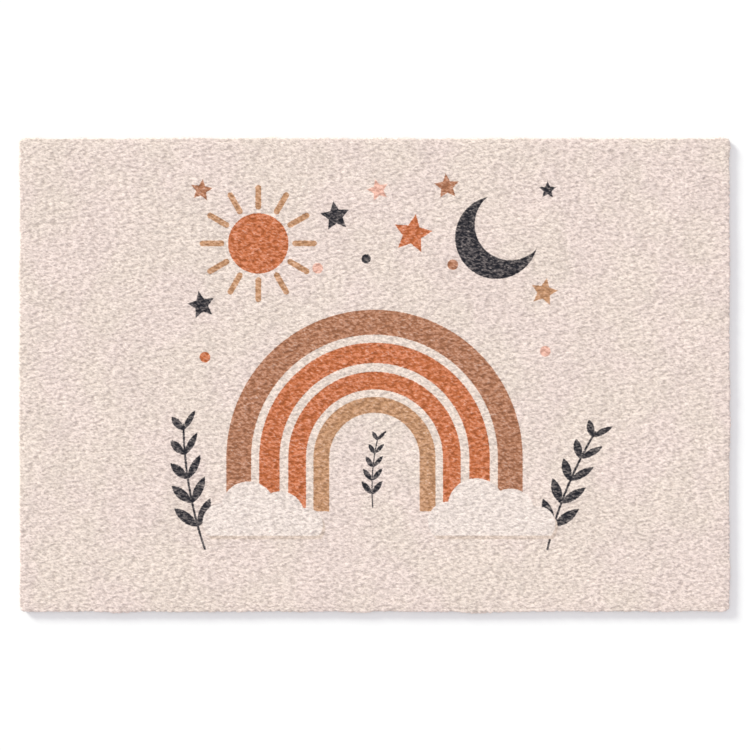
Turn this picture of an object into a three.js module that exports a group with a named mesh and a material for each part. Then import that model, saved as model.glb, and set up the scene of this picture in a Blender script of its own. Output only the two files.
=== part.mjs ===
// A flat, one-piece nursery rug with a short, dense pile, lying on a floor.
// Millimetres. +X runs along the rug's long side, +Y along its short side, +Z is up.
// The origin is the middle of the underside.
import * as THREE from 'three';

// Overall size, with the pile
const RUG_LENGTH = 1200;
const RUG_WIDTH = 800;
const RUG_THICKNESS = 10;

// Cut corners, which the pile rounds a little
const CORNER_RADIUS = 6;

// The pile's side, from the underside up: height, and how far it lies inside the widest outline.
// The locks at the cut edge splay out over the backing, and their tips round off at the top.
const SIDE_ROWS = [
  { height: 0, inset: 3.2 },
  { height: 1.6, inset: 1.6 },
  { height: 4.6, inset: 0 },
  { height: 7.2, inset: 0.7 },
];

// The shoulder, from the side to the level top: how far in, and how far below the top
const SHOULDER_ROWS = [
  { inset: 2.2, drop: 1.3 },
  { inset: 4.8, drop: 0.5 },
  { inset: 11.0, drop: 0.1 },
];

// The cut edge wavers by this much to each side of a straight line, and differently on each side.
// The waver dies away inwards by this power of the distance from the middle.
const EDGE_WAVER = 0.9;
const EDGE_WAVES = [
  { length: 610, share: 0.45, start: 0.7 },
  { length: 233, share: 0.35, start: 2.9 },
  { length: 97, share: 0.2, start: 4.4 },
];
const EDGE_STARTS = { right: 0, left: 1.7, far: 3.1, near: 5.3 };
const WAVER_FALL = 4;

// The top is not quite level: low swells, as in a rug that has just been unrolled
const SWELL_DEPTH = 0.5;
const SWELLS = [
  { alongX: 430, alongY: 390, start: 0.4 },
  { alongX: -260, alongY: 310, start: 2.2 },
  { alongX: 190, alongY: -240, start: 4.1 },
];
const SWELL_FADE = 40;

// Largest step of the net of points over the top, and how exactly a row of it is told by its place
const NET_STEP = 42;
const TOLERANCE = 0.001;

const PILE_COLOUR = 0xe9d9cf;
const PILE_ROUGHNESS = 0.95;

// How far the edge wavers at a place along it, from -EDGE_WAVER to EDGE_WAVER
function waverAt(along, edgeStart) {
  let sum = 0;
  for (const wave of EDGE_WAVES) {
    sum += wave.share * Math.sin((2 * Math.PI * along) / wave.length + wave.start + edgeStart);
  }
  return EDGE_WAVER * sum;
}

// How far the top lies below its highest level, from 0 to SWELL_DEPTH, with none at the rim
function swellAt(x, y) {
  let sum = 0;
  for (const swell of SWELLS) {
    sum += Math.sin(2 * Math.PI * (x / swell.alongX + y / swell.alongY) + swell.start);
  }
  const share = 0.5 - (0.5 * sum) / SWELLS.length;
  const fromRim = Math.min(RUG_LENGTH / 2 - Math.abs(x), RUG_WIDTH / 2 - Math.abs(y));
  const fade = Math.min(1, Math.max(0, fromRim / SWELL_FADE));
  return SWELL_DEPTH * share * fade;
}

// Distances from the middle to each line of the net across half a side: close together over the
// shoulder and even in between
function netLines(half) {
  const shoulder = SHOULDER_ROWS.map((row) => half - row.inset);
  const innermost = shoulder[shoulder.length - 1];
  const steps = Math.ceil(innermost / NET_STEP);
  const inner = [];
  for (let i = 0; i < steps; i += 1) {
    inner.push((innermost * i) / steps);
  }
  const oneSide = [...inner, ...shoulder.reverse()];
  const otherSide = oneSide.slice(1).reverse().map((distance) => -distance);
  return [...otherSide, ...oneSide];
}

// Rounds a rectangle's corners: a point in the square at a corner moves into a quarter disc
function withRoundCorner(x, y, halfLength, halfWidth, radius) {
  const acrossX = (Math.abs(x) - (halfLength - radius)) / radius;
  const acrossY = (Math.abs(y) - (halfWidth - radius)) / radius;
  if (acrossX <= 0 || acrossY <= 0) {
    return [x, y];
  }
  const roundX = acrossX * Math.sqrt(1 - (acrossY * acrossY) / 2);
  const roundY = acrossY * Math.sqrt(1 - (acrossX * acrossX) / 2);
  return [
    Math.sign(x) * (halfLength - radius + radius * roundX),
    Math.sign(y) * (halfWidth - radius + radius * roundY),
  ];
}

// Moves a point with the wavering edge nearest to it, fully at the rim and not at all in the middle
function withWaver(x, y) {
  const shareX = Math.abs((2 * x) / RUG_LENGTH) ** WAVER_FALL;
  const shareY = Math.abs((2 * y) / RUG_WIDTH) ** WAVER_FALL;
  const startX = x > 0 ? EDGE_STARTS.right : EDGE_STARTS.left;
  const startY = y > 0 ? EDGE_STARTS.far : EDGE_STARTS.near;
  return [
    x + shareX * Math.sign(x) * waverAt(y, startX),
    y + shareY * Math.sign(y) * waverAt(x, startY),
  ];
}

// How far the shoulder lies below the level top at a distance inside the widest outline
function shoulderDrop(inset) {
  const row = SHOULDER_ROWS.find((candidate) => inset <= candidate.inset + TOLERANCE);
  return row === undefined ? 0 : row.drop;
}

// The top's net of points, row by row from -Y to +Y
function topNet(columns, rows) {
  const points = [];
  const halfLength = RUG_LENGTH / 2;
  const halfWidth = RUG_WIDTH / 2;
  const rimInset = SHOULDER_ROWS[0].inset;
  for (const y of rows) {
    for (const x of columns) {
      const inset = Math.min(halfLength - Math.abs(x), halfWidth - Math.abs(y));
      const [roundX, roundY] = withRoundCorner(
        x,
        y,
        halfLength - rimInset,
        halfWidth - rimInset,
        CORNER_RADIUS,
      );
      const [placeX, placeY] = withWaver(roundX, roundY);
      points.push([placeX, placeY, RUG_THICKNESS - shoulderDrop(inset) - swellAt(x, y)]);
    }
  }
  return points;
}

// Indices of the net's outer points in order, anticlockwise seen from above
function netRim(columnCount, rowCount) {
  const rim = [];
  for (let column = 0; column < columnCount - 1; column += 1) {
    rim.push(column);
  }
  for (let row = 0; row < rowCount - 1; row += 1) {
    rim.push(row * columnCount + columnCount - 1);
  }
  for (let column = columnCount - 1; column > 0; column -= 1) {
    rim.push((rowCount - 1) * columnCount + column);
  }
  for (let row = rowCount - 1; row > 0; row -= 1) {
    rim.push(row * columnCount);
  }
  return rim;
}

// A row of the pile's side: the net's rim moved outwards to this row's outline
function sideRow(rimPoints, row) {
  const outwards = SHOULDER_ROWS[0].inset - row.inset;
  return rimPoints.map(([x, y], i) => {
    const [beforeX, beforeY] = rimPoints[(i + rimPoints.length - 1) % rimPoints.length];
    const [afterX, afterY] = rimPoints[(i + 1) % rimPoints.length];
    const alongX = afterX - beforeX;
    const alongY = afterY - beforeY;
    const length = Math.hypot(alongX, alongY);
    return [x + (outwards * alongY) / length, y - (outwards * alongX) / length, row.height];
  });
}

// Stretches all points by under one part in a hundred, so that the box is exactly the stated size
function toStatedSize(points) {
  const xs = points.map((point) => point[0]);
  const ys = points.map((point) => point[1]);
  const zs = points.map((point) => point[2]);
  const middleX = (Math.max(...xs) + Math.min(...xs)) / 2;
  const middleY = (Math.max(...ys) + Math.min(...ys)) / 2;
  const scaleX = RUG_LENGTH / (Math.max(...xs) - Math.min(...xs));
  const scaleY = RUG_WIDTH / (Math.max(...ys) - Math.min(...ys));
  const scaleZ = RUG_THICKNESS / Math.max(...zs);
  return points.map(([x, y, z]) => [(x - middleX) * scaleX, (y - middleY) * scaleY, z * scaleZ]);
}

function rugGeometry() {
  const columns = netLines(RUG_LENGTH / 2);
  const rows = netLines(RUG_WIDTH / 2);
  const points = topNet(columns, rows);
  const faces = [];

  for (let row = 0; row < rows.length - 1; row += 1) {
    for (let column = 0; column < columns.length - 1; column += 1) {
      const corner = row * columns.length + column;
      const next = corner + columns.length;
      faces.push([corner, corner + 1, next + 1], [corner, next + 1, next]);
    }
  }

  const rim = netRim(columns.length, rows.length);
  const rimPoints = rim.map((index) => points[index]);
  let above = rim;
  for (const row of [...SIDE_ROWS].reverse()) {
    const below = sideRow(rimPoints, row).map((point) => points.push(point) - 1);
    for (let i = 0; i < rim.length; i += 1) {
      const j = (i + 1) % rim.length;
      faces.push([above[i], below[i], below[j]], [above[i], below[j], above[j]]);
    }
    above = below;
  }

  const outline = above.map((index) => new THREE.Vector2(points[index][0], points[index][1]));
  for (const [a, b, c] of THREE.ShapeUtils.triangulateShape(outline, [])) {
    faces.push([above[a], above[c], above[b]]);
  }

  const geometry = new THREE.BufferGeometry();
  const sized = toStatedSize(points);
  geometry.setAttribute('position', new THREE.Float32BufferAttribute(sized.flat(), 3));
  geometry.setIndex(faces.flat());
  geometry.computeVertexNormals();
  return geometry;
}

function makeRug() {
  const material = new THREE.MeshStandardMaterial({
    color: PILE_COLOUR,
    roughness: PILE_ROUGHNESS,
    metalness: 0,
  });
  const rug = new THREE.Mesh(rugGeometry(), material);
  rug.name = 'rug';
  return rug;
}

const group = new THREE.Group();
group.add(makeRug());

export default group;
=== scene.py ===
# A short-pile nursery rug, lying flat, with a printed rainbow, sun, moon, clouds and leaf sprigs.
# Metres. +X is the rug's long side, +Y points to the print's upper edge, +Z is up.
import math

import bmesh
import bpy
import numpy as np
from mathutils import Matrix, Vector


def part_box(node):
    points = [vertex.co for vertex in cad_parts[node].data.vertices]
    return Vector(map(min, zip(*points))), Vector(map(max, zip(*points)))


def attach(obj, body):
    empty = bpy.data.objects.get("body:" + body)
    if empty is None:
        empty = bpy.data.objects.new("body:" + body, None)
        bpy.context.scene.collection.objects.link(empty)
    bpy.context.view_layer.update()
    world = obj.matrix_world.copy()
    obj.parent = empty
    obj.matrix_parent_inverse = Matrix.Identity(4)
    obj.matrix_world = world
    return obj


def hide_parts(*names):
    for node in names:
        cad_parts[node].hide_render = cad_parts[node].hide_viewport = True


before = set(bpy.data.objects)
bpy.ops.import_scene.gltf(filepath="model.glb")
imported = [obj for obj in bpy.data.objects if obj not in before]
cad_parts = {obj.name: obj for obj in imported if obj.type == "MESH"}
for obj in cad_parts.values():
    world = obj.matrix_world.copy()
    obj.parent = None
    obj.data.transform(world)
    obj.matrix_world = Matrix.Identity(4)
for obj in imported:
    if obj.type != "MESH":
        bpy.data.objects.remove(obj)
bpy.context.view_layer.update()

# The rug's box, which the sizes below are worked out from
RUG_LOW, RUG_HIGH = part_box("rug")
RUG_LENGTH = RUG_HIGH[0] - RUG_LOW[0]
RUG_WIDTH = RUG_HIGH[1] - RUG_LOW[1]
MM = 0.001

# The cloth that carries the pile: its share of the rug's height, and how far inside its edge lies
CLOTH_HEIGHT_SHARE = 0.55
CLOTH_INSET = 4.2 * MM

# The pile's net of points, wrapped over the rug from its middle out and round under its edge. It
# bends round a line inside the rug, and past the shoulder its tufts are drawn out downwards.
NET_PITCH = 1.5 * MM
BEND_INSET = 9.0 * MM
BEND_HEIGHT = 4.0 * MM
BEND_LENGTH = 20.0 * MM
BEND_TURN = math.radians(135)
SHOULDER_AFTER = 8.0 * MM
SIDE_STRETCH = 0.4
LOWEST_PILE = 0.15 * MM
PANELS = 5

# The tufts: their size from crease to crease and how deep the creases are. Two sets of them cross.
TUFT_LENGTH = 10.5 * MM
TUFT_WIDTH = 3.7 * MM
TUFT_DEPTH = 1.0 * MM
TUFT_DETAIL = 1.0
TUFT_TURN = math.radians(-14)
TUFT_CROSS = math.radians(20)
TUFT_SEED = 7.0
SECOND_SET_SEED = 5.0
HOLLOW_TO_FULL = (0.36, 0.58)
MEAN_FULLNESS = 0.6
DEEPEST_CREASE = 2.4 * MM
TONE_PITCH = 2.4 * TUFT_WIDTH

# How the tufts curl along their length, and how their tips lean
CURL = 2.5 * MM
CURL_PITCH = 12.0 * MM
TUFT_LEAN = 1.2 * MM
LEAN_PITCH = 4.0 * MM

# The cut edge: how far its tips splay out, how much deeper its creases are, and how it wavers
EDGE_SPLAY = 1.6 * MM
EDGE_RAGGEDNESS = 1.5
EDGE_WAVER = 11.0 * MM
WAVER_PITCH = 60.0 * MM

# How far the pile leans out from upright, in degrees, where each of the edge's effects starts and
# where it is full
SPLAY_OPENS = (34, 56)
SPLAY_CLOSES = (56, 90)
RAGGED_LEANS = (48, 82)
# The pile's rim takes painted light, and its flank below it painted shade
PAINTED_LIGHT_RIM_LEANS = (38, 66)
PAINTED_SHADE_FLANK_LEANS = (76, 98)

# The sRGB curve of a screen: where its straight foot ends and how steep that is, then its curve
FOOT_END = 0.04045
FOOT_SLOPE = 12.92
CURVE_OFFSET = 0.055
CURVE_POWER = 2.4

# What even the palest pile gives back of the light
PILE_LIGHT = 0.85


def linear(red, green, blue):
    """A colour given as 0 to 255 on a screen, as the linear numbers that a shader takes."""

    def straighten(share):
        if share <= FOOT_END:
            return share / FOOT_SLOPE
        return ((share + CURVE_OFFSET) / (1 + CURVE_OFFSET)) ** CURVE_POWER

    return tuple(straighten(channel / 255) for channel in (red, green, blue))


def dye(red, green, blue):
    """A dye of the pile, from how it looks on a screen under even light."""
    return tuple(PILE_LIGHT * channel for channel in linear(red, green, blue))


GROUND_BLUSH = dye(242, 224, 216)
GROUND_CREAM = dye(241, 225, 214)
DYES = {
    "brown": dye(187, 123, 86),
    "terracotta": dye(212, 114, 59),
    "off_white": dye(242, 225, 213),
    "cloud_white": dye(247, 233, 225),
    "charcoal": dye(29, 30, 41),
    "caramel": dye(205, 151, 108),
    "pink": dye(244, 188, 168),
    "taupe": dye(226, 206, 192),
}
WHITE = (1.0, 1.0, 1.0)

FLOAT = "NodeSocketFloat"
VECTOR = "NodeSocketVector"
COLOUR = "NodeSocketColor"


# Node trees

def put(tree, socket, value):
    """Links an output to an input, or sets the input to a plain value."""
    if isinstance(value, bpy.types.NodeSocket):
        tree.links.new(value, socket)
    else:
        socket.default_value = value


def add_node(tree, kind, settings=None, inputs=None):
    """A new node with its settings, and its inputs by name or number."""
    node = tree.nodes.new(kind)
    for name, value in (settings or {}).items():
        setattr(node, name, value)
    for key, value in (inputs or {}).items():
        put(tree, node.inputs[key], value)
    return node


def maths(tree, operation, *values):
    inputs = dict(enumerate(values))
    return add_node(tree, "ShaderNodeMath", {"operation": operation}, inputs).outputs[0]


def average(tree, first, second):
    return maths(tree, "MULTIPLY", maths(tree, "ADD", first, second), 0.5)


def vector_maths(tree, operation, *values):
    inputs = dict(enumerate(values))
    return add_node(tree, "ShaderNodeVectorMath", {"operation": operation}, inputs).outputs[0]


def vector_length(tree, vector):
    return add_node(tree, "ShaderNodeVectorMath", {"operation": "LENGTH"}, {0: vector}).outputs[1]


def scaled(tree, vector, factor):
    inputs = {0: vector, "Scale": factor}
    return add_node(tree, "ShaderNodeVectorMath", {"operation": "SCALE"}, inputs).outputs[0]


def turned(tree, vector, angle):
    """A vector turned about Z."""
    inputs = {"Vector": vector, "Angle": angle}
    return add_node(tree, "ShaderNodeVectorRotate", {"rotation_type": "Z_AXIS"}, inputs).outputs[0]


def combine(tree, x, y, z=0.0):
    return add_node(tree, "ShaderNodeCombineXYZ", None, {0: x, 1: y, 2: z}).outputs[0]


def separate(tree, vector):
    return add_node(tree, "ShaderNodeSeparateXYZ", None, {0: vector}).outputs


def map_range(tree, value, from_low, from_high, to_low, to_high, smooth=False):
    settings = {"interpolation_type": "SMOOTHSTEP"} if smooth else None
    inputs = {0: value, 1: from_low, 2: from_high, 3: to_low, 4: to_high}
    return add_node(tree, "ShaderNodeMapRange", settings, inputs).outputs[0]


def noise(tree, place, pitch, detail=1.0, output="Fac", **finish):
    """Noise whose lumps are a pitch apart. finish sets the node's other inputs."""
    inputs = {"Vector": place, "Scale": 1 / pitch, "Detail": detail, **finish}
    return add_node(tree, "ShaderNodeTexNoise", None, inputs).outputs[output]


def scatter(tree, place, pitch):
    """A vector that wanders by half of one to each side of none, over a pitch."""
    wandering = noise(tree, place, pitch, output="Color")
    return vector_maths(tree, "SUBTRACT", wandering, (0.5, 0.5, 0.5))


def mix_colour(tree, share, below, above, blend="MIX"):
    """Mixes two colours. A dye is given as three numbers."""
    node = tree.nodes.new("ShaderNodeMix")
    node.data_type = "RGBA"
    node.blend_type = blend
    by_name = {socket.identifier: socket for socket in node.inputs}
    for key, value in (("Factor_Float", share), ("A_Color", below), ("B_Color", above)):
        plain = isinstance(value, tuple)
        put(tree, by_name[key], (*value, 1.0) if plain else value)
    return next(socket for socket in node.outputs if socket.identifier == "Result_Color")


def new_group(name, inputs, outputs, kind="ShaderNodeTree"):
    """An empty node group with named sockets, and its inputs and its output node."""
    tree = bpy.data.node_groups.new(name, kind)
    for label, socket_type, *default in inputs:
        socket = tree.interface.new_socket(label, in_out="INPUT", socket_type=socket_type)
        if default:
            socket.default_value = default[0]
    for label, socket_type in outputs:
        tree.interface.new_socket(label, in_out="OUTPUT", socket_type=socket_type)
    given = tree.nodes.new("NodeGroupInput").outputs
    return tree, given, tree.nodes.new("NodeGroupOutput").inputs


def use_group(tree, group, inputs):
    node = tree.nodes.new("ShaderNodeGroup")
    node.node_tree = group
    for key, value in inputs.items():
        put(tree, node.inputs[key], value)
    return node.outputs


# The print: each motif is a group that gives a mask, from the place on the rug

MOTIF_INPUTS = [
    ("Place", VECTOR),
    ("Centre X", FLOAT, 0.0),
    ("Centre Y", FLOAT, 0.0),
    ("Size", FLOAT, 0.1),
    ("Turn", FLOAT, 0.0),
]
PRINT_EDGE = 1.0 * MM


def placing_group():
    """The place within a motif of size 1 that is turned about its centre, and its edge's width."""
    outputs = [("Place", VECTOR), ("Edge", FLOAT)]
    tree, given, gives = new_group("motif_placing", MOTIF_INPUTS, outputs)
    centre = combine(tree, given["Centre X"], given["Centre Y"])
    flat = vector_maths(tree, "MULTIPLY", given["Place"], (1.0, 1.0, 0.0))
    moved = vector_maths(tree, "SUBTRACT", flat, centre)
    upright = turned(tree, moved, maths(tree, "MULTIPLY", given["Turn"], -1.0))
    scale = maths(tree, "DIVIDE", 1.0, given["Size"])
    put(tree, gives["Place"], scaled(tree, upright, scale))
    put(tree, gives["Edge"], maths(tree, "MULTIPLY", scale, PRINT_EDGE))
    return tree


def mask_of(tree, inside, edge):
    """A mask from how far a place is inside a shape, soft over the width of its edge."""
    return map_range(tree, maths(tree, "DIVIDE", inside, edge), -0.5, 0.5, 0.0, 1.0)


def motif_group(name, placing, draw):
    """A motif's group. draw gives how far a place is inside the motif of size 1."""
    tree, given, gives = new_group(name, MOTIF_INPUTS, [("Mask", FLOAT)])
    placed = use_group(tree, placing, {label: given[label] for label, *_ in MOTIF_INPUTS})
    put(tree, gives["Mask"], mask_of(tree, draw(tree, placed["Place"]), placed["Edge"]))
    return tree


def inside_disc(tree, place, x=0.0, y=0.0, radius=1.0):
    moved = vector_maths(tree, "SUBTRACT", place, (x, y, 0.0)) if x or y else place
    return maths(tree, "SUBTRACT", radius, vector_length(tree, moved))


def draw_disc(tree, place):
    return inside_disc(tree, place)


# What is bitten out of a disc to leave a crescent: x, y and radius of a smaller disc
CRESCENT_BITE = (0.42, 0.18, 0.86)


def draw_crescent(tree, place):
    bite = inside_disc(tree, place, *CRESCENT_BITE)
    return maths(tree, "MINIMUM", inside_disc(tree, place), maths(tree, "MULTIPLY", bite, -1.0))


def folded(tree, place, count):
    """A place in the nearest of count even directions, the first up: how far out and aside."""
    x, y, _ = separate(tree, place)
    step = 2 * math.pi / count
    angle = maths(tree, "WRAP", maths(tree, "ARCTAN2", x, y), step / 2, -step / 2)
    angle = maths(tree, "ABSOLUTE", angle)
    radius = vector_length(tree, place)
    along = maths(tree, "MULTIPLY", radius, maths(tree, "COSINE", angle))
    across = maths(tree, "MULTIPLY", radius, maths(tree, "SINE", angle))
    return along, across


STAR_POINTS = 5
STAR_VALLEY = 0.48


def draw_star(tree, place):
    """Half of one arm, folded round: inside the line from its tip to its valley."""
    along, across = folded(tree, place, STAR_POINTS)
    half = math.pi / STAR_POINTS
    line_x = STAR_VALLEY * math.cos(half) - 1.0
    line_y = STAR_VALLEY * math.sin(half)
    length = math.hypot(line_x, line_y)
    below_tip = maths(tree, "MULTIPLY", maths(tree, "SUBTRACT", 1.0, along), line_y / length)
    return maths(tree, "ADD", below_tip, maths(tree, "MULTIPLY", across, line_x / length))


SUN_RAYS = 12
RAY_FROM = 0.66
RAY_TO = 1.0
RAY_HALF_WIDTH = 0.052


def draw_rays(tree, place):
    """Short strokes with round ends, all round."""
    along, across = folded(tree, place, SUN_RAYS)
    middle = maths(tree, "MINIMUM", maths(tree, "MAXIMUM", along, RAY_FROM), RAY_TO)
    past_end = maths(tree, "SUBTRACT", along, middle)
    return inside_disc(tree, combine(tree, past_end, across), radius=RAY_HALF_WIDTH)


# A cloud of size 1: rounds by x, y and radius, on a low body with a flat underside
CLOUD_ROUNDS = [(-0.66, -0.08, 0.30), (-0.22, 0.14, 0.44), (0.30, 0.04, 0.38), (0.72, -0.12, 0.27)]
CLOUD_FLOOR = -0.30
CLOUD_BODY_TOP = 0.1
CLOUD_BODY_HALF = 0.70


def draw_cloud(tree, place):
    inside = None
    for cloud_round in CLOUD_ROUNDS:
        disc = inside_disc(tree, place, *cloud_round)
        inside = disc if inside is None else maths(tree, "MAXIMUM", inside, disc)
    x, y, _ = separate(tree, place)
    above = maths(tree, "SUBTRACT", y, CLOUD_FLOOR)
    within = maths(tree, "SUBTRACT", CLOUD_BODY_HALF, maths(tree, "ABSOLUTE", x))
    body = maths(tree, "MINIMUM", above, within)
    body = maths(tree, "MINIMUM", body, maths(tree, "SUBTRACT", CLOUD_BODY_TOP, y))
    return maths(tree, "MINIMUM", maths(tree, "MAXIMUM", inside, body), above)


# A sprig of size 1 is 1 high: pairs of leaves up a bent stem, smaller towards its tip. Each leaf is
# the overlap of two rounds, turned out from the stem.
SPRIG_BEND = 0.16
LEAF_PAIRS = 5
LEAF_PITCH = 0.19
LEAF_START = 0.03
LEAF_TURN = math.radians(-52)
LEAF_LENGTH = 0.24
LEAF_ROUND = 0.20
TOP_LEAF = 0.66
STEM_HALF_WIDTH = 0.009
STEM_PAST_LEAVES = 0.08
STEM_FOOT = 0.16


def inside_leaf(tree, aside, y, pair):
    """How far a place is inside the leaves of a pair, counted from 0 at the sprig's foot."""
    root = maths(tree, "MULTIPLY", pair, LEAF_PITCH)
    rise = maths(tree, "SUBTRACT", maths(tree, "SUBTRACT", y, root), LEAF_START)
    local = combine(tree, maths(tree, "ABSOLUTE", aside), rise)
    along, across, _ = separate(tree, turned(tree, local, LEAF_TURN))
    size = map_range(tree, pair, 0.0, LEAF_PAIRS - 1.0, 1.0, TOP_LEAF)
    half = LEAF_LENGTH / 2
    sunk = math.sqrt(LEAF_ROUND**2 - half**2)
    from_middle = maths(tree, "SUBTRACT", maths(tree, "DIVIDE", along, size), half)
    from_round = maths(tree, "ABSOLUTE", maths(tree, "DIVIDE", across, size))
    from_round = maths(tree, "ADD", from_round, sunk)
    return inside_disc(tree, combine(tree, from_middle, from_round), radius=LEAF_ROUND)


def draw_sprig(tree, place):
    x, y, _ = separate(tree, place)
    bend = maths(tree, "MULTIPLY", maths(tree, "MULTIPLY", y, y), SPRIG_BEND)
    aside = maths(tree, "SUBTRACT", x, bend)
    pair = maths(tree, "FLOOR", maths(tree, "DIVIDE", y, LEAF_PITCH))
    pair = maths(tree, "MINIMUM", maths(tree, "MAXIMUM", pair, 0.0), LEAF_PAIRS - 1.0)
    pair_below = maths(tree, "MAXIMUM", maths(tree, "SUBTRACT", pair, 1.0), 0.0)
    upper_leaf = inside_leaf(tree, aside, y, pair)
    lower_leaf = inside_leaf(tree, aside, y, pair_below)
    stem_tip = LEAF_PITCH * (LEAF_PAIRS - 1) + STEM_PAST_LEAVES
    stem = maths(tree, "SUBTRACT", STEM_HALF_WIDTH, maths(tree, "ABSOLUTE", aside))
    stem = maths(tree, "MINIMUM", stem, maths(tree, "SUBTRACT", stem_tip, y))
    inside = maths(tree, "MAXIMUM", maths(tree, "MAXIMUM", upper_leaf, lower_leaf), stem)
    return maths(tree, "MINIMUM", inside, maths(tree, "ADD", y, STEM_FOOT))


# The rainbow, of size 1 from its middle to its outer edge: dye and outer radius of each band,
# outermost first, then the bare pile inside, and how far its straight legs reach down
RAINBOW_BANDS = [
    ("brown", 1.0),
    ("off_white", 0.832),
    ("terracotta", 0.778),
    ("off_white", 0.640),
    ("terracotta", 0.582),
    ("off_white", 0.462),
    ("caramel", 0.412),
]
RAINBOW_INNER = 0.305
RAINBOW_LEG = 0.36


def rainbow_group(placing):
    """The rainbow's colour and mask: rings above its middle, and straight legs below it."""
    outputs = [("Colour", COLOUR), ("Mask", FLOAT)]
    tree, given, gives = new_group("print_rainbow", MOTIF_INPUTS, outputs)
    placed = use_group(tree, placing, {label: given[label] for label, *_ in MOTIF_INPUTS})
    edge = placed["Edge"]
    x, y, _ = separate(tree, placed["Place"])
    ring = vector_length(tree, combine(tree, x, maths(tree, "MAXIMUM", y, 0.0)))
    colour = DYES[RAINBOW_BANDS[0][0]]
    for band_dye, outer in RAINBOW_BANDS[1:]:
        mask = mask_of(tree, maths(tree, "SUBTRACT", outer, ring), edge)
        colour = mix_colour(tree, mask, colour, DYES[band_dye])
    inside = maths(tree, "SUBTRACT", 1.0, ring)
    inside = maths(tree, "MINIMUM", inside, maths(tree, "ADD", y, RAINBOW_LEG))
    inside = maths(tree, "MINIMUM", inside, maths(tree, "SUBTRACT", ring, RAINBOW_INNER))
    put(tree, gives["Colour"], colour)
    put(tree, gives["Mask"], mask_of(tree, inside, edge))
    return tree


RAINBOW = {"x": 0.0, "y": -0.140, "size": 0.250}

# What is printed behind and before the rainbow: motif, dye, x, y, size and turn in degrees
BEHIND_RAINBOW = [
    ("sprig", "charcoal", -0.296, -0.262, 0.215, 16),
    ("sprig", "charcoal", 0.300, -0.262, 0.215, -16),
]
BEFORE_RAINBOW = [
    ("sprig", "charcoal", -0.004, -0.205, 0.120, 2),
    ("cloud", "taupe", -0.186, -0.246, 0.104, 0),
    ("cloud", "cloud_white", -0.190, -0.240, 0.104, 0),
    ("cloud", "taupe", 0.200, -0.244, 0.110, 0),
    ("cloud", "cloud_white", 0.196, -0.238, 0.110, 0),
    ("rays", "caramel", -0.196, 0.222, 0.094, 0),
    ("disc", "terracotta", -0.196, 0.222, 0.051, 0),
    ("crescent", "charcoal", 0.206, 0.232, 0.070, 20),
    ("star", "charcoal", -0.066, 0.268, 0.026, 8),
    ("star", "terracotta", 0.064, 0.238, 0.034, -10),
    ("star", "pink", 0.006, 0.312, 0.019, 15),
    ("star", "brown", 0.122, 0.318, 0.022, 5),
    ("star", "caramel", 0.286, 0.140, 0.024, -12),
    ("star", "charcoal", -0.292, 0.118, 0.024, 12),
    ("star", "brown", -0.292, 0.312, 0.019, -8),
    ("star", "charcoal", 0.292, 0.312, 0.015, 0),
    ("disc", "pink", -0.096, 0.180, 0.009, 0),
    ("disc", "brown", 0.132, 0.186, 0.009, 0),
    ("disc", "terracotta", -0.286, 0.030, 0.009, 0),
    ("disc", "pink", 0.288, 0.040, 0.009, 0),
    ("disc", "charcoal", -0.014, 0.196, 0.008, 0),
]
DRAWINGS = {
    "disc": draw_disc,
    "crescent": draw_crescent,
    "star": draw_star,
    "rays": draw_rays,
    "cloud": draw_cloud,
    "sprig": draw_sprig,
}


def print_group():
    """The whole print, over the ground's colour."""
    placing = placing_group()
    motifs = {name: motif_group("print_" + name, placing, draw) for name, draw in DRAWINGS.items()}
    rainbow = rainbow_group(placing)
    inputs = [("Place", VECTOR), ("Ground", COLOUR)]
    tree, given, gives = new_group("nursery_print", inputs, [("Colour", COLOUR)])

    def place_motif(group, x, y, size, degrees=0):
        numbers = {"Centre X": x, "Centre Y": y, "Size": size, "Turn": math.radians(degrees)}
        return use_group(tree, group, {"Place": given["Place"], **numbers})

    def print_rows(rows, colour):
        for motif, motif_dye, x, y, size, degrees in rows:
            mask = place_motif(motifs[motif], x, y, size, degrees)["Mask"]
            colour = mix_colour(tree, mask, colour, DYES[motif_dye])
        return colour

    colour = print_rows(BEHIND_RAINBOW, given["Ground"])
    bands = place_motif(rainbow, **RAINBOW)
    colour = mix_colour(tree, bands["Mask"], colour, bands["Colour"])
    put(tree, gives["Colour"], print_rows(BEFORE_RAINBOW, colour))
    return tree


# The pile's finish

# The ground's colour drifts over a hand's width
BLOTCH_PITCH = 0.13
BLOTCH_RANGE = (0.38, 0.62)

# Fibres: their thickness, how much longer they are than thick, how they are drawn out up a side,
# and how far the print's outline strays with them
FIBRE_PITCH = 2.0 * MM
FIBRE_STRETCH = 2.1
UPRIGHT_STRETCH = 0.3
FIBRE_RANGE = (0.36, 0.64)
FIBRE_RELIEF = 0.7 * MM
FLECK_PITCH = 2.4 * MM
PRINT_DRIFT = 2.4 * MM

# Painted highlight on a tuft's tips, drawn as ink that misses them, and flecks of undyed fibre among
# them
TIP_RANGE = (0.45, 1.0)
PAINTED_TIP_HIGHLIGHT = (0.0, 0.2)
FLECK_RANGE = (0.56, 0.72)
BARE_FLECKS = (0.0, 0.26)

# Painted shade in a crease: what is left of the light there, in pale pile and in dyed pile, by how pale
# the dye is
PALE_CREASE = (0.735, 0.72, 0.712)
DYED_CREASE = (0.56, 0.56, 0.58)
DYED_TO_PALE = (0.25, 0.6)

# How much tufts and worn patches differ in lightness, the painted shade between fibres that follows
# their bump, and the painted light on the pile's rim and painted shade on its flank
MIDDLE_RANGE = (0.25, 0.75)
TUFT_TONES = (0.97, 1.03)
FIBRE_PAINTED_SHADE = (0.85, 1.15)
PATCH_TONES = (0.96, 1.04)
PATCH_PITCH = 0.05
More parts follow.
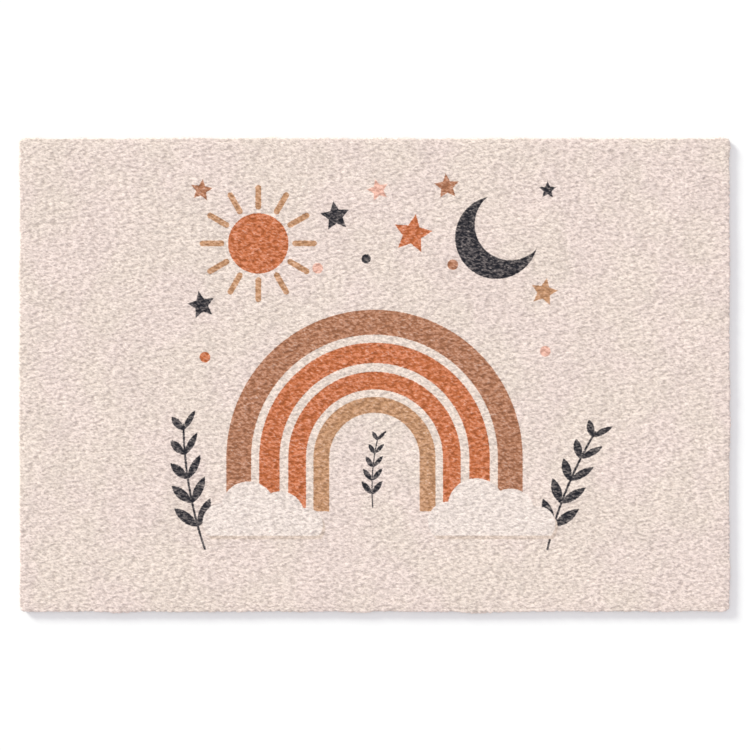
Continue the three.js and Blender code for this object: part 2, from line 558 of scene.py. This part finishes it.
# Painted light on the pile's rim, and painted shade on its steep flank
PAINTED_RIM_LIGHT = 1.1
PAINTED_FLANK_SHADE = 0.66
PILE_ROUGHNESS = (0.82, 0.97)
PILE_SPECULAR = 0.2
PILE_SHEEN = 0.2
SHEEN_ROUGHNESS = 0.5


def ground_group():
    """The undyed pile's colour, which drifts between a blush and a cream over a hand's width."""
    tree, given, gives = new_group("pile_ground", [("Place", VECTOR)], [("Colour", COLOUR)])
    drift = noise(tree, given["Place"], BLOTCH_PITCH, 2.0, Roughness=0.55)
    share = map_range(tree, drift, *BLOTCH_RANGE, 0.0, 1.0, smooth=True)
    put(tree, gives["Colour"], mix_colour(tree, share, GROUND_BLUSH, GROUND_CREAM))
    return tree


def fibre_group():
    """Fibres of the pile: a height for bump, a share that follows it and paints shade between the
    fibres, and a share for flecks.
    """
    outputs = [("Height", FLOAT), ("Share", FLOAT), ("Fleck", FLOAT)]
    tree, given, gives = new_group("pile_fibres", [("Place", VECTOR)], outputs)
    lie = turned(tree, given["Place"], -TUFT_TURN)
    lying = vector_maths(tree, "MULTIPLY", lie, (1 / FIBRE_STRETCH, 1.0, UPRIGHT_STRETCH))
    strand = noise(tree, lying, FIBRE_PITCH, 2.0, Roughness=0.6, Distortion=0.8)
    put(tree, gives["Height"], strand)
    put(tree, gives["Share"], map_range(tree, strand, *FIBRE_RANGE, 0.0, 1.0))
    put(tree, gives["Fleck"], noise(tree, lying, FLECK_PITCH, Distortion=0.4))
    return tree


def strayed(tree, place):
    """Where a fibre's ink was printed, which is a little aside of where the fibre now lies."""
    reach = (PRINT_DRIFT, PRINT_DRIFT, 0.0)
    aside = vector_maths(tree, "MULTIPLY", scatter(tree, place, FIBRE_PITCH), reach)
    return vector_maths(tree, "ADD", place, aside)


def attribute(tree, name):
    return add_node(tree, "ShaderNodeAttribute", {"attribute_name": name}).outputs["Fac"]


def new_material(name):
    material = bpy.data.materials.new(name)
    material.use_nodes = True
    tree = material.node_tree
    shader = next(node for node in tree.nodes if node.type == "BSDF_PRINCIPLED")
    return material, tree, shader


def tip_highlight_and_flecks(tree, fibres, rise):
    """Painted highlight on the tufts' tips, drawn as ink that the fibres missed there, and flecks of
    undyed fibre, which show on the tips.
    """
    tips = average(tree, fibres["Share"], rise)
    tip_highlight = map_range(tree, tips, *TIP_RANGE, *PAINTED_TIP_HIGHLIGHT)
    fleck = map_range(tree, fibres["Fleck"], *FLECK_RANGE, *BARE_FLECKS, smooth=True)
    return maths(tree, "ADD", tip_highlight, maths(tree, "MULTIPLY", fleck, rise))


def painted_crease_shade(tree, dyed, rise):
    """Painted shade between the tufts: what is left of the light there. It is less in dark dye than in
    pale pile.
    """
    paleness = add_node(tree, "ShaderNodeRGBToBW", None, {0: dyed}).outputs[0]
    paleness = map_range(tree, paleness, *DYED_TO_PALE, 0.0, 1.0)
    crease = mix_colour(tree, paleness, DYED_CREASE, PALE_CREASE)
    return mix_colour(tree, rise, crease, WHITE)


def pile_shade(tree, place, fibres):
    """How light tufts and patches are at random, with painted shade between the fibres, painted light
    on the pile's rim and painted shade on its flank.
    """
    patch = noise(tree, place, PATCH_PITCH, 2.0, Roughness=0.6)
    shade = map_range(tree, attribute(tree, "tuft_tone"), *MIDDLE_RANGE, *TUFT_TONES)
    # Painted light on the rim and painted shade on the flank
    for part, light in (("pile_rim", PAINTED_RIM_LIGHT), ("pile_flank", PAINTED_FLANK_SHADE)):
        part_light = map_range(tree, attribute(tree, part), 0.0, 1.0, 1.0, light)
        shade = maths(tree, "MULTIPLY", shade, part_light)
    # Painted shade between the fibres, which follows their bump, and random tone in worn patches
    for share, tones in ((fibres["Share"], FIBRE_PAINTED_SHADE), (patch, PATCH_TONES)):
        shade = maths(tree, "MULTIPLY", shade, map_range(tree, share, *MIDDLE_RANGE, *tones))
    return combine(tree, shade, shade, shade)


def pile_material():
    """Printed pile, with painted shade in the creases between tufts and between fibres, painted
    highlight on the tufts' tips drawn as ink they missed, flecks of undyed fibre, and painted light and
    shade round the edge.
    """
    material, tree, shader = new_material("printed_pile")
    place = tree.nodes.new("ShaderNodeTexCoord").outputs["Object"]
    rise = attribute(tree, "tuft_rise")
    ground = use_group(tree, ground_group(), {"Place": place})["Colour"]
    fibres = use_group(tree, fibre_group(), {"Place": place})
    inputs = {"Place": strayed(tree, place), "Ground": ground}
    printed = use_group(tree, print_group(), inputs)["Colour"]
    # Painted highlight on the tufts' tips, and flecks of undyed fibre
    colour = mix_colour(tree, tip_highlight_and_flecks(tree, fibres, rise), printed, ground)
    # Painted shade in the creases between tufts
    colour = mix_colour(tree, 1.0, colour, painted_crease_shade(tree, printed, rise), "MULTIPLY")
    # Random tones, painted shade between fibres, painted light on the rim and painted shade on the
    # flank
    colour = mix_colour(tree, 1.0, colour, pile_shade(tree, place, fibres), "MULTIPLY")
    put(tree, shader.inputs["Base Color"], colour)

    rough = map_range(tree, fibres["Share"], 0.0, 1.0, *PILE_ROUGHNESS)
    put(tree, shader.inputs["Roughness"], rough)
    bump = {"Height": fibres["Height"], "Strength": 1.0, "Distance": FIBRE_RELIEF}
    put(tree, shader.inputs["Normal"], add_node(tree, "ShaderNodeBump", None, bump).outputs[0])
    shader.inputs["Specular IOR Level"].default_value = PILE_SPECULAR
    shader.inputs["Sheen Weight"].default_value = PILE_SHEEN
    shader.inputs["Sheen Roughness"].default_value = SHEEN_ROUGHNESS
    return material


# The backing's finish

WEAVE_PITCH = 2.4 * MM
THREAD_RELIEF = 0.5 * MM
THREAD_STRENGTH = 0.7
UNEVEN_PITCH = 1 / 90
UNEVEN_RANGE = (0.3, 0.7)
BACKING_ROUGHNESS = (0.8, 0.95)
BACKING_DARK = linear(196, 184, 168)
BACKING_PALE = linear(222, 212, 198)


def weave_group():
    """A plain weave: threads over and under each other, as a height from 0 to 1."""
    tree, given, gives = new_group("plain_weave", [("Place", VECTOR)], [("Height", FLOAT)])
    x, y, _ = separate(tree, given["Place"])
    turn = math.pi / WEAVE_PITCH
    wave_x = maths(tree, "SINE", maths(tree, "MULTIPLY", x, turn))
    wave_y = maths(tree, "SINE", maths(tree, "MULTIPLY", y, turn))
    over = maths(tree, "GREATER_THAN", maths(tree, "MULTIPLY", wave_x, wave_y), 0.0)
    thread_x = maths(tree, "ABSOLUTE", wave_x)
    thread_y = maths(tree, "ABSOLUTE", wave_y)
    threads = {0: over, 2: thread_x, 3: thread_y}
    height = add_node(tree, "ShaderNodeMix", {"data_type": "FLOAT"}, threads).outputs[0]
    put(tree, gives["Height"], height)
    return tree


def backing_material():
    material, tree, shader = new_material("woven_backing")
    place = tree.nodes.new("ShaderNodeTexCoord").outputs["Object"]
    height = use_group(tree, weave_group(), {"Place": place})["Height"]
    uneven = noise(tree, place, UNEVEN_PITCH, 4.0, Roughness=0.6)
    # Darker where the threads dip, a painted shade between them, and uneven in tone at random
    share = average(tree, height, uneven)
    put(tree, shader.inputs["Base Color"], mix_colour(tree, share, BACKING_DARK, BACKING_PALE))
    rough = map_range(tree, uneven, *UNEVEN_RANGE, *BACKING_ROUGHNESS)
    put(tree, shader.inputs["Roughness"], rough)
    bump = {"Height": height, "Strength": THREAD_STRENGTH, "Distance": THREAD_RELIEF}
    put(tree, shader.inputs["Normal"], add_node(tree, "ShaderNodeBump", None, bump).outputs[0])
    return material


# The cloth: the rug's own solid, drawn in under the pile

# Points of the solid that are closer than this are one point
SAME_POINT = 0.01 * MM


def mesh_object(name, mesh):
    piece = bpy.data.objects.new(name, mesh)
    bpy.context.scene.collection.objects.link(piece)
    return piece


def rug_shape():
    """The rug's solid as one closed mesh in the shared frame."""
    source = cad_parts["rug"]
    mesh = source.data.copy()
    mesh.name = "rug_shape"
    work = bmesh.new()
    work.from_mesh(mesh)
    bmesh.ops.transform(work, matrix=source.matrix_world, verts=work.verts)
    bmesh.ops.remove_doubles(work, verts=work.verts, dist=SAME_POINT)
    bmesh.ops.recalc_face_normals(work, faces=work.faces)
    work.to_mesh(mesh)
    work.free()
    return mesh_object("rug_shape", mesh)


def make_cloth(shape):
    mesh = shape.data.copy()
    mesh.name = "rug_cloth"
    reach_x = RUG_LENGTH / 2 - CLOTH_INSET
    reach_y = RUG_WIDTH / 2 - CLOTH_INSET
    for vertex in mesh.vertices:
        x, y, z = vertex.co
        x = min(max(x, -reach_x), reach_x)
        y = min(max(y, -reach_y), reach_y)
        vertex.co = (x, y, z * CLOTH_HEIGHT_SHARE)
    mesh.materials.clear()
    mesh.materials.append(backing_material())
    for face in mesh.polygons:
        face.material_index = 0
        face.use_smooth = False
    return mesh_object("rug_cloth", mesh)


# The pile: a net of points inside the rug is cast out onto its surface, and Geometry Nodes raise
# it into tufts. Along each edge the net's points look out like a fan, and in a corner like a dome.

def net_steps(half):
    """Places of the net's lines across the rug, from under one edge to under the other."""
    reach = half - BEND_INSET + BEND_LENGTH
    count = round(2 * reach / NET_PITCH)
    return np.linspace(-reach, reach, count + 1)


def drawn_out(distance, inner):
    """Places across the net, with those past the shoulder closed up, which draws the tufts out."""
    shoulder = inner + SHOULDER_AFTER
    over = np.maximum(np.abs(distance) - shoulder, 0.0)
    return np.sign(distance) * (np.minimum(np.abs(distance), shoulder) + SIDE_STRETCH * over)


def outward_looks(across, along, inner_x, inner_y):
    """The way that each point of the net looks: up, or leaning out where it is past the bend."""
    past_x = np.maximum(np.abs(across) - inner_x, 0.0)
    past_y = np.maximum(np.abs(along) - inner_y, 0.0)
    past = np.maximum(past_x, past_y)
    nearest_to_none = 1e-9
    smaller = np.minimum(past_x, past_y) / np.maximum(past, nearest_to_none)
    heading = np.where(past_x >= past_y, smaller, 2.0 - smaller) * math.pi / 4
    tilt = BEND_TURN * past / BEND_LENGTH
    out_x = np.sign(across) * np.cos(heading) * np.sin(tilt)
    out_y = np.sign(along) * np.sin(heading) * np.sin(tilt)
    return np.stack([out_x, out_y, np.cos(tilt)], axis=-1)


def net_mesh(name, columns, rows):
    """Part of the net, as a mesh whose points hold the way that they look and two plans of it."""
    across, along = np.meshgrid(columns, rows, indexing="ij")
    inner_x = RUG_LENGTH / 2 - BEND_INSET
    inner_y = RUG_WIDTH / 2 - BEND_INSET
    level = np.zeros(across.shape)
    places = np.stack(
        [
            np.clip(across, -inner_x, inner_x),
            np.clip(along, -inner_y, inner_y),
            level + BEND_HEIGHT,
        ],
        axis=-1,
    )
    wide, deep = across.shape
    first = (np.arange(wide - 1)[:, None] * deep + np.arange(deep - 1)).ravel()
    quads = np.stack([first, first + deep, first + deep + 1, first + 1], axis=-1)
    mesh = bpy.data.meshes.new(name)
    mesh.from_pydata(places.reshape(-1, 3), [], quads)
    hanging = [drawn_out(across, inner_x), drawn_out(along, inner_y), level]
    vectors = {
        "outward": outward_looks(across, along, inner_x, inner_y),
        "plan": np.stack([across, along, level], axis=-1),
        "tuft_plan": np.stack(hanging, axis=-1),
    }
    for label, values in vectors.items():
        holder = mesh.attributes.new(label, "FLOAT_VECTOR", "POINT")
        holder.data.foreach_set("vector", values.ravel())
    return mesh


def store(tree, geometry, name, value):
    settings = {"data_type": "FLOAT", "domain": "POINT"}
    inputs = {"Geometry": geometry, "Name": name, "Value": value}
    return add_node(tree, "GeometryNodeStoreNamedAttribute", settings, inputs).outputs[0]


def stored_vector(tree, name):
    settings = {"data_type": "FLOAT_VECTOR"}
    return add_node(tree, "GeometryNodeInputNamedAttribute", settings, {"Name": name}).outputs[0]


def set_position(tree, geometry, **inputs):
    inputs = {"Geometry": geometry, **inputs}
    return add_node(tree, "GeometryNodeSetPosition", None, inputs).outputs[0]


def own_position(tree):
    return add_node(tree, "GeometryNodeInputPosition").outputs[0]


def by_lean(tree, level, leans, start=0.0, end=1.0):
    """A value that changes smoothly as the pile leans out from one angle to another."""
    upright_from, upright_to = (math.cos(math.radians(lean)) for lean in leans)
    return map_range(tree, level, upright_from, upright_to, start, end, smooth=True)


def cast_onto_rug(tree, given, outward):
    """The net's points moved out onto the rug's surface, each the way that it looks."""
    rug = add_node(tree, "GeometryNodeObjectInfo", None, {"Object": given["Rug"]})
    inputs = {
        "Target Geometry": rug.outputs["Geometry"],
        "Source Position": own_position(tree),
        "Ray Direction": outward,
        "Ray Length": 1.0,
    }
    hit = add_node(tree, "GeometryNodeRaycast", None, inputs).outputs["Hit Position"]
    return set_position(tree, given["Net"], Position=hit)


def tuft_fullness(tree, given, plan):
    """How full the pile is, from 0 in a crease to 1 on a tuft: two crossing sets of tufts."""
    bent = vector_maths(tree, "ADD", plan, scaled(tree, scatter(tree, plan, CURL_PITCH), given["Curl"]))
    sets = []
    for lie, seed_step in ((TUFT_TURN + TUFT_CROSS, 0.0), (TUFT_TURN - TUFT_CROSS, SECOND_SET_SEED)):
        along, across, _ = separate(tree, turned(tree, bent, -lie))
        in_tufts = combine(
            tree,
            maths(tree, "DIVIDE", along, given["Tuft length"]),
            maths(tree, "DIVIDE", across, given["Tuft width"]),
            maths(tree, "ADD", given["Seed"], seed_step),
        )
        sets.append(noise(tree, in_tufts, 1.0, TUFT_DETAIL))
    return map_range(tree, average(tree, *sets), *HOLLOW_TO_FULL, 0.0, 1.0, smooth=True)


def tuft_rise(tree, given, plan, full, level):
    """How far each point stands out. Along the cut edge the tufts stand apart and splay out."""
    rise = maths(tree, "MULTIPLY", maths(tree, "SUBTRACT", full, MEAN_FULLNESS), given["Depth"])
    ragged = by_lean(tree, level, RAGGED_LEANS)
    deeper = maths(tree, "ADD", maths(tree, "MULTIPLY", ragged, given["Raggedness"]), 1.0)
    rise = maths(tree, "MULTIPLY", rise, deeper)
    opening = by_lean(tree, level, SPLAY_OPENS)
    closing = by_lean(tree, level, SPLAY_CLOSES, 1.0, 0.0)
    splay = maths(tree, "MULTIPLY", maths(tree, "MINIMUM", opening, closing), given["Splay"])
    rise = maths(tree, "ADD", rise, splay)
    wander = maths(tree, "SUBTRACT", noise(tree, plan, WAVER_PITCH, 2.0), 0.5)
    wander = maths(tree, "MULTIPLY", maths(tree, "MULTIPLY", wander, ragged), given["Waver"])
    return maths(tree, "MAXIMUM", maths(tree, "ADD", rise, wander), -DEEPEST_CREASE)


def tufts_tree():
    """Casts the net onto the rug, and raises it into tufts with creases between them."""
    inputs = [
        ("Net", "NodeSocketGeometry"),
        ("Rug", "NodeSocketObject"),
        ("Tuft length", FLOAT, TUFT_LENGTH),
        ("Tuft width", FLOAT, TUFT_WIDTH),
        ("Depth", FLOAT, TUFT_DEPTH),
        ("Lean", FLOAT, TUFT_LEAN),
        ("Splay", FLOAT, EDGE_SPLAY),
        ("Raggedness", FLOAT, EDGE_RAGGEDNESS),
        ("Waver", FLOAT, EDGE_WAVER),
        ("Curl", FLOAT, CURL),
        ("Seed", FLOAT, TUFT_SEED),
        ("Material", "NodeSocketMaterial"),
    ]
    outputs = [("Pile", "NodeSocketGeometry")]
    tree, given, gives = new_group("pile_tufts", inputs, outputs, "GeometryNodeTree")
    outward = stored_vector(tree, "outward")
    level = separate(tree, outward)[2]
    pile = cast_onto_rug(tree, given, outward)

    # The tufts are laid out in the net's own plan, which runs on evenly over the edges
    seeded = combine(tree, 0.0, 0.0, given["Seed"])
    plan = vector_maths(tree, "ADD", stored_vector(tree, "tuft_plan"), seeded)
    full = tuft_fullness(tree, given, plan)
    rise = tuft_rise(tree, given, plan, full, level)
    aside = vector_maths(tree, "MULTIPLY", scatter(tree, plan, LEAN_PITCH), (1.0, 1.0, 0.0))
    lean = scaled(tree, aside, given["Lean"])
    offset = vector_maths(tree, "ADD", scaled(tree, outward, rise), lean)

    pile = store(tree, pile, "tuft_tone", noise(tree, plan, TONE_PITCH, 2.0))
    # How full the pile is, which the finish uses for painted shade in its creases and painted highlight
    # on its tips
    pile = store(tree, pile, "tuft_rise", full)
    # Where the pile's rim takes painted light and its flank painted shade
    pile = store(tree, pile, "pile_rim", by_lean(tree, level, PAINTED_LIGHT_RIM_LEANS))
    pile = store(tree, pile, "pile_flank", by_lean(tree, level, PAINTED_SHADE_FLANK_LEANS))
    pile = set_position(tree, pile, Offset=offset)
    x, y, z = separate(tree, own_position(tree))
    lowest = combine(tree, x, y, maths(tree, "MAXIMUM", z, LOWEST_PILE))
    pile = set_position(tree, pile, Position=lowest)
    pile = add_node(tree, "GeometryNodeSetShadeSmooth", None, {0: pile}).outputs[0]
    pile = add_node(tree, "GeometryNodeRealizeInstances", None, {0: pile}).outputs[0]
    inputs = {"Geometry": pile, "Material": given["Material"]}
    pile = add_node(tree, "GeometryNodeSetMaterial", None, inputs).outputs[0]
    put(tree, gives["Pile"], pile)
    return tree


def run_tree(tree, source, values):
    """The mesh that a tree makes of an object, with named inputs."""
    modifier = source.modifiers.new("pile", "NODES")
    modifier.node_group = tree
    for item in tree.interface.items_tree:
        if item.item_type == "SOCKET" and item.in_out == "INPUT" and item.name in values:
            modifier[item.identifier] = values[item.name]
    source.update_tag()
    graph = bpy.context.evaluated_depsgraph_get()
    mesh = bpy.data.meshes.new_from_object(source.evaluated_get(graph), depsgraph=graph)
    source.modifiers.remove(modifier)
    return mesh


def map_by_plan(mesh):
    """Maps the pile by its net's plan, in which the edges are opened out flat."""
    plan = np.empty(len(mesh.vertices) * 3)
    mesh.attributes["plan"].data.foreach_get("vector", plan)
    plan = plan.reshape(-1, 3)[:, :2]
    low = plan.min(0)
    spread = plan.max(0) - low
    corners = np.empty(len(mesh.loops), dtype=np.int32)
    mesh.loops.foreach_get("vertex_index", corners)
    layer = mesh.uv_layers.new(name="OFBake")
    layer.data.foreach_set("uv", ((plan - low) / spread)[corners].ravel())
    for label in ("plan", "tuft_plan", "outward"):
        mesh.attributes.remove(mesh.attributes[label])


def make_pile(shape):
    """The pile in panels side by side, which share the points along their seams."""
    tree = tufts_tree()
    material = pile_material()
    columns = net_steps(RUG_LENGTH / 2)
    rows = net_steps(RUG_WIDTH / 2)
    cuts = np.linspace(0, len(columns) - 1, PANELS + 1).round().astype(int)
    panels = []
    for number, (first, last) in enumerate(zip(cuts[:-1], cuts[1:]), start=1):
        name = f"pile_panel_{number}"
        net = net_mesh("pile_net", columns[first : last + 1], rows)
        panel = mesh_object(name, net)
        panel.data = run_tree(tree, panel, {"Rug": shape, "Material": material})
        panel.data.name = name
        bpy.data.meshes.remove(net)
        map_by_plan(panel.data)
        panels.append(panel)
    return panels


# Floor, light and camera

# The floor: how far it reaches each way, and how far it lies below the rug
FLOOR_REACH = 40.0
FLOOR_LEVEL = -0.2 * MM

# It reads as a little more than white, from the share of the light that comes back from it and
# the light that falls on it
FLOOR_BRIGHTNESS = 1.035
FLOOR_SHARE = 0.84
FLOOR_LIGHT = FLOOR_BRIGHTNESS * math.pi / FLOOR_SHARE

# A low key light gives its share of the floor's light in red, green and blue. A soft light overhead
# gives its own share of the rest, and the sky gives what is left.
KEY_SHARES = (0.268, 0.280, 0.255)
KEY_SPREAD = math.radians(16.5)
KEY_HEIGHT = math.radians(19.5)
KEY_FROM = math.radians(138)
OVERHEAD_SHARE = 0.2
OVERHEAD_SPREAD = math.radians(50)

# The rug is this much of the photograph's frame across, with its middle half a pixel to the left
FRAME_PIXELS = 750
RUG_PIXELS = 710
ASIDE_PIXELS = 0.5
CAMERA_HEIGHT = 3.0
SENSOR = 36.0


def make_floor():
    mesh = bpy.data.meshes.new("floor")
    signs = [(-1, -1), (1, -1), (1, 1), (-1, 1)]
    corners = [(x * FLOOR_REACH, y * FLOOR_REACH, FLOOR_LEVEL) for x, y in signs]
    mesh.from_pydata(corners, [], [(0, 1, 2, 3)])
    material, _, shader = new_material("floor_white")
    shader.inputs["Base Color"].default_value = (FLOOR_SHARE, FLOOR_SHARE, FLOOR_SHARE, 1.0)
    shader.inputs["Roughness"].default_value = 0.9
    shader.inputs["Specular IOR Level"].default_value = 0.0
    mesh.materials.append(material)
    mesh_object("floor", mesh)


def add_sun(name, shares, height, heading, spread):
    """A soft light from one side, by its share of the floor's light in red, green and blue."""
    sun = bpy.data.lights.new(name, "SUN")
    brightest = max(shares)
    sun.energy = FLOOR_LIGHT * brightest / math.sin(height)
    sun.angle = spread
    sun.color = [share / brightest for share in shares]
    holder = bpy.data.objects.new(name, sun)
    holder.rotation_euler = (0.0, math.pi / 2 - height, heading)
    bpy.context.scene.collection.objects.link(holder)


def make_light():
    rest = [1 - share for share in KEY_SHARES]
    overhead = [share * OVERHEAD_SHARE for share in rest]
    sky = [share * (1 - OVERHEAD_SHARE) for share in rest]
    add_sun("key_light", KEY_SHARES, KEY_HEIGHT, KEY_FROM, KEY_SPREAD)
    add_sun("overhead_light", overhead, math.pi / 2, 0.0, OVERHEAD_SPREAD)
    world = bpy.data.worlds.new("studio")
    world.use_nodes = True
    background = next(node for node in world.node_tree.nodes if node.type == "BACKGROUND")
    background.inputs["Color"].default_value = (*sky, 1.0)
    background.inputs["Strength"].default_value = FLOOR_LIGHT / math.pi
    bpy.context.scene.world = world
    bpy.context.scene.view_settings.view_transform = "Standard"


def make_camera():
    """Straight above the rug, with the frame fitted to the pile's outline where it bends round."""
    lens = bpy.data.cameras.new("camera")
    lens.sensor_width = SENSOR
    lens.sensor_fit = "HORIZONTAL"
    across = RUG_LENGTH * FRAME_PIXELS / RUG_PIXELS
    lens.lens = SENSOR * (CAMERA_HEIGHT - BEND_HEIGHT) / across
    camera = bpy.data.objects.new("camera", lens)
    camera.location = (ASIDE_PIXELS * across / FRAME_PIXELS, 0.0, CAMERA_HEIGHT)
    bpy.context.scene.collection.objects.link(camera)
    bpy.context.scene.camera = camera


make_camera()
make_light()
make_floor()

shape = rug_shape()
cloth = make_cloth(shape)
panels = make_pile(shape)
bpy.data.objects.remove(shape)

for piece in [cloth, *panels]:
    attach(piece, "root")
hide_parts("rug")
